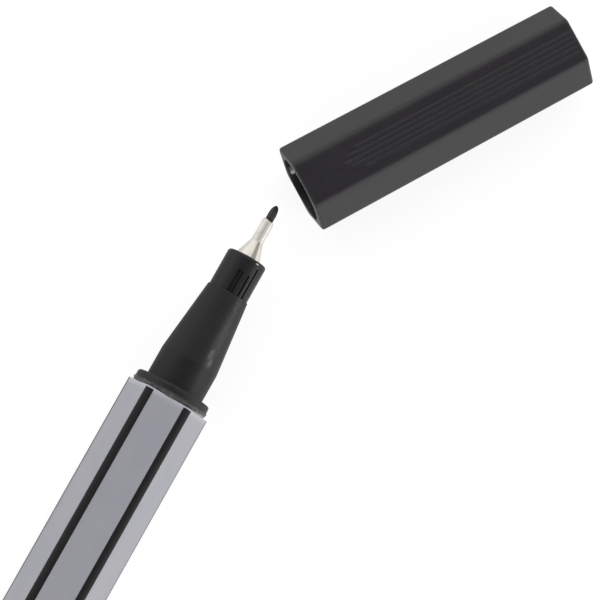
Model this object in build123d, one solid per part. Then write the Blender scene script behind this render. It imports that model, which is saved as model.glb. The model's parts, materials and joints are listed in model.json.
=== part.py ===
"""Capped fineliner pen with a six-sided barrel, lying on a table with its cap pulled off beside the nib.

Millimetres. X runs along the pen towards the nib and Z is up. The origin is on the pen's axis, on the
front face of the collar where the closed cap stops.
"""

import os
from math import cos, radians, sin

from build123d import *

# Fits
PRESS_GAP = 0.02
NIB_GAP = 0.05
SEAL_GAP = 0.03
CAP_GAP = 0.225
RESERVOIR_GAP = 0.1

# Barrel: an extruded six-sided tube with inlaid corner stripes
BARREL_LENGTH = 133.0
BARREL_FLATS = 7.5
BARREL_CORNER_RADIUS = 0.5
BARREL_WALL = 0.7
STRIPE_REACH = 0.53
STRIPE_DEPTH = 0.15
STRIPE_ANGLES = (60, 120, 240, 300)

# Grip section: the collar, the cylinder that the cap slides over and the cone
COLLAR_THICKNESS = 1.25
COLLAR_PROUD = 0.07
COLLAR_BACK_INSET = 0.02
COLLAR_EDGE_RADIUS = 0.25
BEAD_PROUD = 0.2
BEAD_FROM_BARREL = 0.34
BEAD_FRONT_SLOPE = 0.16
SEAT_STEP = 0.81
SEAT_LENGTH = 2.95
CONE_LENGTH = 7.4
SPIGOT_LENGTH = 9.0
SPIGOT_CHAMFER = 0.4
SPIGOT_WALL = 0.75

# Nib holder: the glossy bush in the front of the cone
HOLDER_DIAMETER = 4.02
HOLDER_LENGTH = 3.94
HOLDER_STEP = 0.11
HOLDER_EDGE_RADIUS = 0.3
HOLDER_SHANK = 3.1
HOLDER_SHANK_LENGTH = 11.0
HOLDER_SHANK_CHAMFER = 0.3
VENT_ANGLES = (1, 38, 181, 218)
VENT_LENGTH = 2.35
VENT_WIDTH = 0.48
VENT_DEPTH = 0.16

# Metal sleeve: a drawn cone and tube around the fibre
SLEEVE_BASE = 2.45
SLEEVE_WALL = 0.18
SLEEVE_SEAT_LENGTH = 2.6
SLEEVE_CONE_LENGTH = 1.74
SLEEVE_BLEND_RADIUS = 0.8
SLEEVE_TUBE_LENGTH = 2.32
SLEEVE_RIM_LENGTH = 0.45
SLEEVE_RIM_INSET = 0.04
SLEEVE_RIM_CHAMFER = 0.05

# Fibre nib, ink reservoir and its film wrap
NIB_DIAMETER = 0.81
NIB_EXPOSED = 1.47
NIB_DOME_LENGTH = 0.68
NIB_POINT_LENGTH = 1.2
NIB_SOAK_DEPTH = 5.0
RESERVOIR_PLAY = 0.21
RESERVOIR_CHAMFER = 0.35
WRAP_THICKNESS = 0.12

# Rear plug
PLUG_HEAD_LENGTH = 2.6
PLUG_HEAD_INSET = 0.12
PLUG_HEAD_CHAMFER = 0.35
PLUG_SPIGOT_LENGTH = 6.5
PLUG_WALL = 0.8
PLUG_FIN_LENGTH = 11.0
PLUG_FIN_THICKNESS = 0.9
PLUG_FIN_COUNT = 2

# Cap shell
CAP_PROUD = 0.135
CAP_DRAFT = 0.34
CAP_CORNER_RADIUS = 0.9
CAP_MOUTH_CHAMFER = 0.06
CAP_RIM_CHAMFER = 0.15
CAP_END_RADIUS = 0.28
CAP_LINER_STEP = 0.3
CAP_CORE_DIAMETER = 4.0
CAP_CORE_DEPTH = 6.27
CAP_END_WALL = 1.5
CAP_VENT_DIAMETER = 1.5
RIB_COUNT_EACH_SIDE = 2
RIB_PITCH = 0.51
RIB_WIDTH = 0.28
RIB_HEIGHT = 0.07
RIB_SLOPE = 35.0
RIB_START = 4.2
RIB_STAGGER = 0.28
RIB_END_MARGIN = 0.5

# Cap liner: the soft plug inside the cap that seals round the nib holder
LINER_FROM_CONE = 0.5
LINER_SETBACK = 0.3
LINER_LEAD_IN = 0.25
LINER_SHOULDER_ROOM = 0.3
LINER_CHAMBER_INSET = 0.55
LINER_NIB_ROOM = 0.8
LINER_END_WALL = 0.8
LINER_FIN_COUNT = 6
LINER_FIN_HEIGHT = 0.2
LINER_FIN_THICKNESS = 0.7
LINER_FIN_OVERRUN = 0.5

# Where the cap lies, measured from the tip of the nib to the middle of the cap's mouth
CAP_TURN = -32.14
MOUTH_AHEAD = 2.59
MOUTH_ASIDE = -1.21

# Stations along the pen
BARREL_FRONT = -COLLAR_THICKNESS
BARREL_REAR = BARREL_FRONT - BARREL_LENGTH
SECTION_REAR = BARREL_FRONT - SPIGOT_LENGTH
CONE_END = SEAT_LENGTH + CONE_LENGTH
SHANK_REAR = CONE_END - HOLDER_SHANK_LENGTH
HOLDER_FRONT = CONE_END + HOLDER_LENGTH
SLEEVE_REAR = HOLDER_FRONT - SLEEVE_SEAT_LENGTH
SLEEVE_NECK = HOLDER_FRONT + SLEEVE_CONE_LENGTH
SLEEVE_RIM = SLEEVE_NECK + SLEEVE_TUBE_LENGTH
NIB_TIP = SLEEVE_RIM + NIB_EXPOSED
RESERVOIR_FRONT = SECTION_REAR - RESERVOIR_GAP
RESERVOIR_REAR = BARREL_REAR + PLUG_FIN_LENGTH + RESERVOIR_GAP
NIB_REAR = RESERVOIR_FRONT - NIB_SOAK_DEPTH

# Radii shared by pieces that fit each other
BORE_RADIUS = BARREL_FLATS / 2 - BARREL_WALL
SPIGOT_RADIUS = BORE_RADIUS - PRESS_GAP
COLLAR_RADIUS = BARREL_FLATS / 2 + COLLAR_PROUD
BEAD_RADIUS = BARREL_FLATS / 2 + BEAD_PROUD
SEAT_RADIUS = BARREL_FLATS / 2 - SEAT_STEP
SHANK_RADIUS = HOLDER_SHANK / 2
HOLDER_RADIUS = HOLDER_DIAMETER / 2
CONE_END_RADIUS = HOLDER_RADIUS + HOLDER_STEP
NIB_RADIUS = NIB_DIAMETER / 2
NIB_BORE_RADIUS = NIB_RADIUS + PRESS_GAP
SLEEVE_BASE_RADIUS = SLEEVE_BASE / 2
SLEEVE_TUBE_RADIUS = NIB_BORE_RADIUS + SLEEVE_WALL
WRAP_RADIUS = BORE_RADIUS - RESERVOIR_PLAY
RESERVOIR_RADIUS = WRAP_RADIUS - WRAP_THICKNESS - PRESS_GAP

# The cap, measured from its mouth
CAP_FLATS = BARREL_FLATS + 2 * CAP_PROUD
CAP_BORE_RADIUS = SEAT_RADIUS + CAP_GAP
LINER_SEAT_RADIUS = CAP_BORE_RADIUS - CAP_LINER_STEP
LINER_START = CONE_END + LINER_FROM_CONE
CAP_BORE_END = LINER_START - LINER_SETBACK
LINER_SHOULDER = HOLDER_FRONT + LINER_SHOULDER_ROOM
LINER_CHAMBER_END = NIB_TIP + LINER_NIB_ROOM
LINER_END = LINER_CHAMBER_END + LINER_END_WALL
LINER_FIN_END = LINER_END + LINER_FIN_OVERRUN
CAP_CORE_END = LINER_FIN_END + CAP_CORE_DEPTH
CAP_LENGTH = CAP_CORE_END + CAP_END_WALL
SEAL_RADIUS = HOLDER_RADIUS + SEAL_GAP
LINER_RADIUS = LINER_SEAT_RADIUS - LINER_FIN_HEIGHT

# The table under the pen touches the collar's bead, and the cap lies on its own drafted flat
TABLE_LEVEL = -BEAD_RADIUS
MOUTH_LEVEL = TABLE_LEVEL + RIB_HEIGHT + CAP_FLATS / 2 * cos(radians(CAP_DRAFT))
CAP_PLACE = (
    Pos(NIB_TIP + MOUTH_AHEAD, MOUTH_ASIDE, MOUTH_LEVEL)
    * Rot(0, 0, CAP_TURN)
    * Rot(0, CAP_DRAFT, 0)
)


def hexagon(flats, corner_radius):
    """Six-sided outline across the pen with one flat up and one flat down."""
    outline = RegularPolygon(flats / 2, 6, major_radius=False)
    return fillet(outline.vertices(), corner_radius)


def across(outline, x):
    """An outline set across the pen's axis at station x."""
    return Pos(x, 0, 0) * (Plane.YZ * outline)


def profile(*points):
    """Closed half section of a turned piece, from points of station and radius."""
    return make_face(Polyline(*points, close=True))


def rounded(section, radius, *points):
    """The half section with the corners at these points rounded."""
    corners = [section.vertices().sort_by_distance((*point, 0))[0] for point in points]
    return fillet(corners, radius)


def turned(section):
    """Solid of revolution about the pen's axis."""
    return revolve(section, Axis.X)


def stripe_outline():
    """The stripes' sections: thin skins wrapped round four of the barrel's corners."""
    skin = hexagon(BARREL_FLATS, BARREL_CORNER_RADIUS) - hexagon(
        BARREL_FLATS - 2 * STRIPE_DEPTH, BARREL_CORNER_RADIUS - STRIPE_DEPTH
    )
    width = 2 * STRIPE_REACH * sin(radians(60))
    window = Pos(BARREL_FLATS / 2, 0, 0) * Rectangle(BARREL_FLATS, width)
    return [skin & (Rot(0, 0, angle) * window) for angle in STRIPE_ANGLES]


def make_barrel():
    """Six-sided tube with a shallow groove for each stripe."""
    outline = hexagon(BARREL_FLATS, BARREL_CORNER_RADIUS) - Circle(BORE_RADIUS)
    for stripe in stripe_outline():
        outline -= stripe
    return extrude(across(outline, BARREL_REAR), BARREL_LENGTH)


def make_barrel_stripes():
    """The stripes that fill the barrel's grooves, one solid for each corner."""
    return [extrude(across(stripe, BARREL_REAR), BARREL_LENGTH) for stripe in stripe_outline()]


def make_grip_section():
    """Moulded front: spigot in the barrel, collar with its parting bead, cap seat and cone."""
    rear_bore = SPIGOT_RADIUS - SPIGOT_WALL
    front_bore = SHANK_RADIUS + PRESS_GAP
    bore_step = SHANK_REAR - RESERVOIR_GAP
    collar_edge = (0, COLLAR_RADIUS)
    section = profile(
        (SECTION_REAR, rear_bore),
        (SECTION_REAR, SPIGOT_RADIUS - SPIGOT_CHAMFER),
        (SECTION_REAR + SPIGOT_CHAMFER, SPIGOT_RADIUS),
        (BARREL_FRONT, SPIGOT_RADIUS),
        (BARREL_FRONT, BARREL_FLATS / 2 - COLLAR_BACK_INSET),
        (BARREL_FRONT + BEAD_FROM_BARREL, BEAD_RADIUS),
        (BARREL_FRONT + BEAD_FROM_BARREL + BEAD_FRONT_SLOPE, COLLAR_RADIUS),
        collar_edge,
        (0, SEAT_RADIUS),
        (SEAT_LENGTH, SEAT_RADIUS),
        (CONE_END, CONE_END_RADIUS),
        (CONE_END, front_bore),
        (bore_step, front_bore),
        (bore_step, rear_bore),
    )
    return turned(rounded(section, COLLAR_EDGE_RADIUS, collar_edge))


def make_nib_holder():
    """Glossy bush that grips the metal sleeve and guides the fibre, with air vents in its side."""
    rod_bore = NIB_RADIUS + NIB_GAP
    sleeve_bore = SLEEVE_BASE_RADIUS + PRESS_GAP
    front_edge = (HOLDER_FRONT, HOLDER_RADIUS)
    section = profile(
        (SHANK_REAR, rod_bore),
        (SHANK_REAR, SHANK_RADIUS - HOLDER_SHANK_CHAMFER),
        (SHANK_REAR + HOLDER_SHANK_CHAMFER, SHANK_RADIUS),
        (CONE_END, SHANK_RADIUS),
        (CONE_END, HOLDER_RADIUS),
        front_edge,
        (HOLDER_FRONT, sleeve_bore),
        (SLEEVE_REAR, sleeve_bore),
        (SLEEVE_REAR, rod_bore),
    )
    holder = turned(rounded(section, HOLDER_EDGE_RADIUS, front_edge))
    slot = Pos(CONE_END + VENT_LENGTH / 2, 0, HOLDER_RADIUS) * Box(VENT_LENGTH, VENT_WIDTH, 2 * VENT_DEPTH)
    for angle in VENT_ANGLES:
        holder -= Rot(angle, 0, 0) * slot
    return holder


def make_nib_sleeve():
    """Drawn metal tip: a shank in the holder, a cone and a slim tube with a turned-in rim."""
    neck = (SLEEVE_NECK, SLEEVE_TUBE_RADIUS)
    rim_radius = SLEEVE_TUBE_RADIUS - SLEEVE_RIM_INSET
    section = profile(
        (SLEEVE_REAR, SLEEVE_BASE_RADIUS - SLEEVE_WALL),
        (SLEEVE_REAR, SLEEVE_BASE_RADIUS),
        (HOLDER_FRONT, SLEEVE_BASE_RADIUS),
        neck,
        (SLEEVE_RIM - SLEEVE_RIM_LENGTH, SLEEVE_TUBE_RADIUS),
        (SLEEVE_RIM - SLEEVE_RIM_CHAMFER, rim_radius),
        (SLEEVE_RIM, rim_radius - SLEEVE_RIM_CHAMFER),
        (SLEEVE_RIM, NIB_BORE_RADIUS),
        (SLEEVE_NECK, NIB_BORE_RADIUS),
        (HOLDER_FRONT, SLEEVE_BASE_RADIUS - SLEEVE_WALL),
    )
    return turned(rounded(section, SLEEVE_BLEND_RADIUS, neck))


def make_nib():
    """Fibre rod from its domed writing end to the point that draws ink from the reservoir."""
    dome_start = NIB_TIP - NIB_DOME_LENGTH
    dome = EllipticalCenterArc((dome_start, 0), NIB_DOME_LENGTH, NIB_RADIUS, start_angle=0, arc_size=90)
    rod = Polyline(
        (dome_start, NIB_RADIUS),
        (NIB_REAR + NIB_POINT_LENGTH, NIB_RADIUS),
        (NIB_REAR, 0),
        (NIB_TIP, 0),
    )
    return turned(make_face(dome + rod))


def make_ink_reservoir():
    """Wadding rod with the hole that the nib's point has pressed into it."""
    hole_end = NIB_REAR - RESERVOIR_GAP
    hole_radius = NIB_RADIUS + PRESS_GAP
    edge = RESERVOIR_RADIUS - RESERVOIR_CHAMFER
    section = profile(
        (RESERVOIR_FRONT, hole_radius),
        (RESERVOIR_FRONT, edge),
        (RESERVOIR_FRONT - RESERVOIR_CHAMFER, RESERVOIR_RADIUS),
        (RESERVOIR_REAR + RESERVOIR_CHAMFER, RESERVOIR_RADIUS),
        (RESERVOIR_REAR, edge),
        (RESERVOIR_REAR, 0),
        (hole_end, 0),
        (hole_end + NIB_POINT_LENGTH, hole_radius),
    )
    return turned(section)


def make_reservoir_wrap():
    """Film tube round the wadding, as long as the wadding is at full width."""
    inside = WRAP_RADIUS - WRAP_THICKNESS
    front = RESERVOIR_FRONT - RESERVOIR_CHAMFER
    rear = RESERVOIR_REAR + RESERVOIR_CHAMFER
    return turned(profile((rear, inside), (front, inside), (front, WRAP_RADIUS), (rear, WRAP_RADIUS)))


def make_rear_plug():
    """Plug with a six-sided head, a hollow spigot in the barrel and crossed fins that stop the reservoir."""
    head_outline = hexagon(BARREL_FLATS - 2 * PLUG_HEAD_INSET, BARREL_CORNER_RADIUS)
    head = extrude(across(head_outline, BARREL_REAR), -PLUG_HEAD_LENGTH)
    head = chamfer(head.faces().sort_by(Axis.X)[0].edges(), PLUG_HEAD_CHAMFER)
    cup = SPIGOT_RADIUS - PLUG_WALL
    spigot = turned(
        profile(
            (BARREL_REAR, cup),
            (BARREL_REAR, SPIGOT_RADIUS),
            (BARREL_REAR + PLUG_SPIGOT_LENGTH - SPIGOT_CHAMFER, SPIGOT_RADIUS),
            (BARREL_REAR + PLUG_SPIGOT_LENGTH, SPIGOT_RADIUS - SPIGOT_CHAMFER),
            (BARREL_REAR + PLUG_SPIGOT_LENGTH, cup),
        )
    )
    plug = head + spigot
    fin = Pos(BARREL_REAR + PLUG_FIN_LENGTH / 2, 0, 0) * Box(PLUG_FIN_LENGTH, 2 * cup, PLUG_FIN_THICKNESS)
    for index in range(PLUG_FIN_COUNT):
        plug += Rot(180 * index / PLUG_FIN_COUNT, 0, 0) * fin
    return plug


def cap_ribs():
    """Fine grip ribs on the cap's upper flat, set back further the further they are from the middle."""
    face_level = CAP_FLATS / 2 * cos(radians(CAP_DRAFT))
    upper_flat = Rot(0, CAP_DRAFT, 0) * Plane.XY.offset(face_level - RIB_HEIGHT)
    ribs = Part()
    for index in range(-RIB_COUNT_EACH_SIDE, RIB_COUNT_EACH_SIDE + 1):
        steps = abs(index)
        start = RIB_START + RIB_STAGGER * steps * (steps + 1)
        length = CAP_LENGTH - RIB_END_MARGIN - start
        foot = Pos(start + length / 2, index * RIB_PITCH) * Rectangle(length, RIB_WIDTH)
        ribs += extrude(upper_flat * foot, 2 * RIB_HEIGHT, taper=RIB_SLOPE)
    return ribs


def make_cap_shell():
    """Drafted six-sided cap with a round bore, a narrower seat for the liner, a vented end and ribs."""
    shell = extrude(across(hexagon(CAP_FLATS, CAP_CORNER_RADIUS), 0), CAP_LENGTH, taper=CAP_DRAFT)
    shell = fillet(shell.faces().sort_by(Axis.X)[-1].edges(), CAP_END_RADIUS)
    shell = chamfer(shell.faces().sort_by(Axis.X)[0].edges(), CAP_RIM_CHAMFER)
    ribs = cap_ribs()
    shell += ribs
    shell += Rot(180, 0, 0) * ribs
    vent_radius = CAP_VENT_DIAMETER / 2
    bore = profile(
        (0, 0),
        (0, CAP_BORE_RADIUS + CAP_MOUTH_CHAMFER),
        (CAP_MOUTH_CHAMFER, CAP_BORE_RADIUS),
        (CAP_BORE_END, CAP_BORE_RADIUS),
        (CAP_BORE_END, LINER_SEAT_RADIUS),
        (LINER_FIN_END, LINER_SEAT_RADIUS),
        (LINER_FIN_END, CAP_CORE_DIAMETER / 2),
        (CAP_CORE_END, CAP_CORE_DIAMETER / 2),
        (CAP_CORE_END, vent_radius),
        (CAP_LENGTH, vent_radius),
        (CAP_LENGTH, 0),
    )
    return shell - turned(bore)


def make_cap_liner():
    """Soft plug that seals on the nib holder, held in the cap by fins with air passages between them."""
    wall = LINER_RADIUS - SEAL_RADIUS
    lead_in = min(LINER_LEAD_IN, wall / 2)
    chamber = SEAL_RADIUS - LINER_CHAMBER_INSET
    cup = turned(
        profile(
            (LINER_START, SEAL_RADIUS + lead_in),
            (LINER_START, LINER_RADIUS),
            (LINER_END, LINER_RADIUS),
            (LINER_END, 0),
            (LINER_CHAMBER_END, 0),
            (LINER_CHAMBER_END, chamber),
            (LINER_SHOULDER, chamber),
            (LINER_SHOULDER, SEAL_RADIUS),
            (LINER_START + lead_in, SEAL_RADIUS),
        )
    )
    fin_length = LINER_FIN_END - LINER_START
    tips = LINER_SEAT_RADIUS - PRESS_GAP
    core = LINER_RADIUS - wall / 2
    ring = Circle(tips) - Circle(core)
    spoke = Pos((core + tips) / 2, 0, 0) * Rectangle(2 * (tips - core), LINER_FIN_THICKNESS)
    for index in range(LINER_FIN_COUNT):
        fin = ring & (Rot(0, 0, 360 * index / LINER_FIN_COUNT) * spoke)
        cup += extrude(across(fin, LINER_START), fin_length)
    return cup


def main():
    """Builds every piece and writes one STEP file for each."""
    pieces = {
        "barrel": make_barrel(),
        "barrel_stripes": Compound(children=make_barrel_stripes()),
        "grip_section": make_grip_section(),
        "nib_holder": make_nib_holder(),
        "nib_sleeve": make_nib_sleeve(),
        "nib": make_nib(),
        "ink_reservoir": make_ink_reservoir(),
        "reservoir_wrap": make_reservoir_wrap(),
        "rear_plug": make_rear_plug(),
        "cap_shell": CAP_PLACE * make_cap_shell(),
        "cap_liner": CAP_PLACE * make_cap_liner(),
    }
    os.makedirs("parts", exist_ok=True)
    for name, piece in pieces.items():
        export_step(piece, f"parts/{name}.step")


main()
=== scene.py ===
"""Looks of a fineliner pen that lies beside its pulled-off cap.

The file is laid out as an add-on and run as a script. Lengths are metres in the frame's own axes: X runs
along the pen towards the nib, Z is up from the table and the origin is on the collar's front face.
"""

import json
from math import asin, atan2, cos, pi, radians, sin, sqrt, tan

import bmesh
import bpy
from bpy.props import FloatProperty, FloatVectorProperty, PointerProperty
from mathutils import Matrix, Vector, noise


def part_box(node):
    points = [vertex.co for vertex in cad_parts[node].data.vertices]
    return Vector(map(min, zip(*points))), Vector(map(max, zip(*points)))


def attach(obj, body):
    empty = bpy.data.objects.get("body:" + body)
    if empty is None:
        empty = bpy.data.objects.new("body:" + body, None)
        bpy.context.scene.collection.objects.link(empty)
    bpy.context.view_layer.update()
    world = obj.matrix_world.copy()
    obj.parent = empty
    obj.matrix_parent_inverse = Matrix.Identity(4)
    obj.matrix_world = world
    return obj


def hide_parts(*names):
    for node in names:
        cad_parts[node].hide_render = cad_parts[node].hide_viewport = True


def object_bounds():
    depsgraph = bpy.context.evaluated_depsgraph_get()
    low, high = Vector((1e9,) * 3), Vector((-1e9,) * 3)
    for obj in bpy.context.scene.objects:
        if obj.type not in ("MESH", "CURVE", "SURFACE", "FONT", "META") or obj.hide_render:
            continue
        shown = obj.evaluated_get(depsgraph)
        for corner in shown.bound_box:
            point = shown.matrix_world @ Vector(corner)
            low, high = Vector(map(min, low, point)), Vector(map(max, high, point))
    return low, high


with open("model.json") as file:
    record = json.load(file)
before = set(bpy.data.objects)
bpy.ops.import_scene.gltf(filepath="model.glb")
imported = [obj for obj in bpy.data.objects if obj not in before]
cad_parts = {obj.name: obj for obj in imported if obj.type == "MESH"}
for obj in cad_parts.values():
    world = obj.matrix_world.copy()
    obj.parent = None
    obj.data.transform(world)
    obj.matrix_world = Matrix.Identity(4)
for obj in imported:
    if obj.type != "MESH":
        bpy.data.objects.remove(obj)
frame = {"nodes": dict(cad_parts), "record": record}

bl_info = {
    "name": "Fineliner pen",
    "version": (1, 0, 0),
    "blender": (4, 5, 0),
    "location": "View3D > Sidebar > Fineliner",
    "description": "Builds the pieces, finishes and stage of a fineliner pen around its frame",
    "category": "Object",
}

MM = 0.001
CAD_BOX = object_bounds()
BARREL_LOW, BARREL_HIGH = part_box("barrel")
GRIP_LOW, GRIP_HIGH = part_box("grip_section")
HOLDER_LOW, HOLDER_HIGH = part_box("nib_holder")
SLEEVE_LOW, SLEEVE_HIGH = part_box("nib_sleeve")
NIB_LOW, NIB_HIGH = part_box("nib")
PLUG_LOW, PLUG_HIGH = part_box("rear_plug")
WADDING_LOW, WADDING_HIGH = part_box("ink_reservoir")
STRIPED_CORNERS = (1, 2, 4, 5)
ROUND_STEPS = 144
CORNER_STEPS = 10
EDGE_STEPS = 8
FLAT_STEPS = 6
SHARP_ANGLE = radians(38)
SOFT_SHINE = 0.35
CLEARANCE = 0.02 * MM
END_GAP = 0.1 * MM
LEAD_IN = 0.4 * MM
POINT_RADIUS = 0.02 * MM


def mount(name):
    """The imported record's mount of that name."""
    return next(m for m in frame["record"]["mounts"] if m["name"] == name)


def mm(*values):
    """Millimetres as metres."""
    return tuple(value * MM for value in values)


SEAT = mount("cap_seat")
MOUTH = mount("cap_mouth")
SEAT_RADIUS = SEAT["dims"]["r_mm"] * MM
SEAT_END = SEAT["dims"]["length_mm"] * MM
BORE_RADIUS = MOUTH["dims"]["r_mm"] * MM
BORE_LENGTH = MOUTH["dims"]["length_mm"] * MM

# Marks on the pieces: the middle and the half sizes of each one, in its piece's own frame. The grip's four
# marks are scuffs laid along its highlight, partly a painted highlight; the holder's mark and the two bore
# marks are painted glints.
UPPER_SCUFF_HIGHLIGHT = mm(4.25, -1.45, 2.43), mm(0.9, 0.36, 0.5)
LOWER_SCUFF_HIGHLIGHT = mm(3.5, -1.72, 2.31), mm(0.75, 0.4, 0.5)
FRONT_SCUFF_HIGHLIGHT = mm(9.8, -1.4, 1.7), mm(1.6, 0.5, 0.6)
SIDE_SCUFF_HIGHLIGHT = mm(5.6, -1.48, 2.05), mm(7.0, 0.82, 1.2)
HOLDER_GLINT = mm(13.95, -1.08, 1.66), mm(0.09, 0.24, 0.25)
BORE_GLINT = mm(0.4, 1.98, -2.5), mm(0.38, 0.32, 0.6)
BORE_GLINT_HALO = mm(0.33, 2.3, -2.2), mm(0.35, 0.6, 0.6)

# Painted reflection of a dark gap on the sleeve, as brown bands and lines: bearings between which they rise
# and fade, and the lines' spacing
TUBE_REFLECTION = (radians(-3), radians(2), radians(32), radians(42))
CONE_REFLECTION = (radians(7), radians(12), radians(31), radians(38))
REFLECTION_LINE_START = radians(3.6)
REFLECTION_LINE_PITCH = radians(24.5)


# Settings that a user would change


def setting(name, description, default, **kind):
    """A number."""
    return FloatProperty(name=name, description=description, default=default, **kind)


def length(name, description, default):
    """A size in metres."""
    return setting(name, description, default, unit="LENGTH", subtype="DISTANCE", precision=6)


def turn(name, description, default):
    """An angle in radians."""
    return setting(name, description, default, unit="ROTATION", subtype="ANGLE")


def share(name, description, default):
    """A part of one."""
    return setting(name, description, default, min=0.0, max=1.0, subtype="FACTOR")


def level(name, description, default):
    """A brightness, one for plain white."""
    return setting(name, description, default, min=0.0)


def position(name, description, default):
    """A point in metres."""
    kind = {"subtype": "TRANSLATION", "unit": "LENGTH", "precision": 6}
    return FloatVectorProperty(name=name, description=description, default=default, **kind)


def colour(name, description, default):
    """A colour in linear light."""
    return FloatVectorProperty(name=name, description=description, default=default, subtype="COLOR", size=3)


class BarrelSettings(bpy.types.PropertyGroup):
    """Sizes and colours of the barrel, its stripes and its rear plug."""

    flats: length("Across flats", "Barrel width from flat to flat", BARREL_HIGH.z - BARREL_LOW.z)
    corner_radius: length("Corner radius", "Rounding of the six corners", 0.5 * MM)
    wall: length("Wall", "Least wall round the bore", 0.7 * MM)
    end_bevel: length("End bevel", "Bevel of the cut ends", 0.05 * MM)
    # Painted highlight: the front end is painted paler over this length
    painted_end_highlight: length("Pale end", "Length over which the front end turns pale", 0.8 * MM)
    cut_skew: turn("Cut skew", "How far the front cut is out of square", radians(0.75))
    stripe_reach: length("Stripe reach", "How far a stripe runs from the sharp corner", 0.55 * MM)
    stripe_depth: length("Stripe depth", "Depth of the stripe's groove", 0.15 * MM)
    stripe_gap: length("Stripe gap", "Gap between a stripe and its groove", 0.006 * MM)
    stripe_margin: length("Stripe margin", "Bare length between a stripe and the cut end", 0.14 * MM)
    # Painted shade: a dark line painted along the side corners, stronger on the left
    painted_shade_width: length("Grime width", "Width of the dark line along the side corners", 0.1 * MM)
    painted_shade_edge: length("Grime edge", "Half width of that line's soft edge", 0.02 * MM)
    plug_edge: length("Plug edge radius", "Rounding of the plug's rear edge", 0.5 * MM)
    plug_spigot: length("Plug spigot", "Length of the plug inside the barrel", 6.5 * MM)
    plug_wall: length("Plug wall", "Wall of the plug's spigot", 0.8 * MM)
    plug_fin: length("Plug fin", "Thickness of the crossed fins", 0.9 * MM)
    grey: colour("Grey", "Barrel plastic", (0.418, 0.418, 0.441))
    cool: colour("Cool grey", "Bluish patches of the barrel plastic", (0.387, 0.392, 0.446))
    # Colour of the painted shade along the side corners
    painted_edge_shade: colour("Grime", "Dirt along the side corners", (0.085, 0.085, 0.088))
    black: colour("Black", "Stripe plastic", (0.0225, 0.0223, 0.0228))
    plug_black: colour("Plug black", "Plug plastic", (0.015, 0.015, 0.0155))


class GripSettings(bpy.types.PropertyGroup):
    """Sizes and colours of the grip section."""

    collar_radius: length("Collar radius", "Radius of the collar in front of its bead", 3.82 * MM)
    collar_back: length("Collar back radius", "Radius of the collar against the barrel", 3.73 * MM)
    collar_edge: length("Collar edge", "Rounding of the collar's front edge", 0.25 * MM)
    heel_edge: length("Heel edge", "Rounding of the collar's edge at the barrel", 0.04 * MM)
    bead_place: length("Bead place", "Distance of the bead from the barrel", 0.45 * MM)
    bead_slope: length("Bead slope", "Length of the bead's front slope", 0.16 * MM)
    bead_edge: length("Bead edge", "Rounding of the bead", 0.05 * MM)
    bead_root: length("Bead root", "Rounding in front of the bead", 0.05 * MM)
    bead_nicks: length("Bead nicks", "Depth of the wear along the bead", 0.05 * MM)
    nick_floor: length("Nick floor", "Height over the collar from which the bead is nicked", 0.02 * MM)
    seat_root: length("Seat root", "Rounding between the collar and the cap seat", 0.12 * MM)
    cone_bend: length("Cone bend", "Rounding between the cap seat and the cone", 1.6 * MM)
    front_radius: length("Front radius", "Radius of the cone's front end", 2.12 * MM)
    front_edge: length("Front edge", "Rounding of the cone's front edge", 0.07 * MM)
    spigot_wall: length("Spigot wall", "Wall of the spigot inside the barrel", 0.75 * MM)
    black: colour("Black", "Grip plastic", (0.0135, 0.0118, 0.0121))
    # Also the colour of the painted highlight that goes with the scuffs
    worn: colour("Worn", "Rubbed bead and scuffs", (0.094, 0.087, 0.08))
    # Bright chips along the bead, and the painted highlight on the bead's right end
    chips_and_painted_highlight: colour("Chipped", "Bright chips along the bead", (0.4, 0.38, 0.36))


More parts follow.
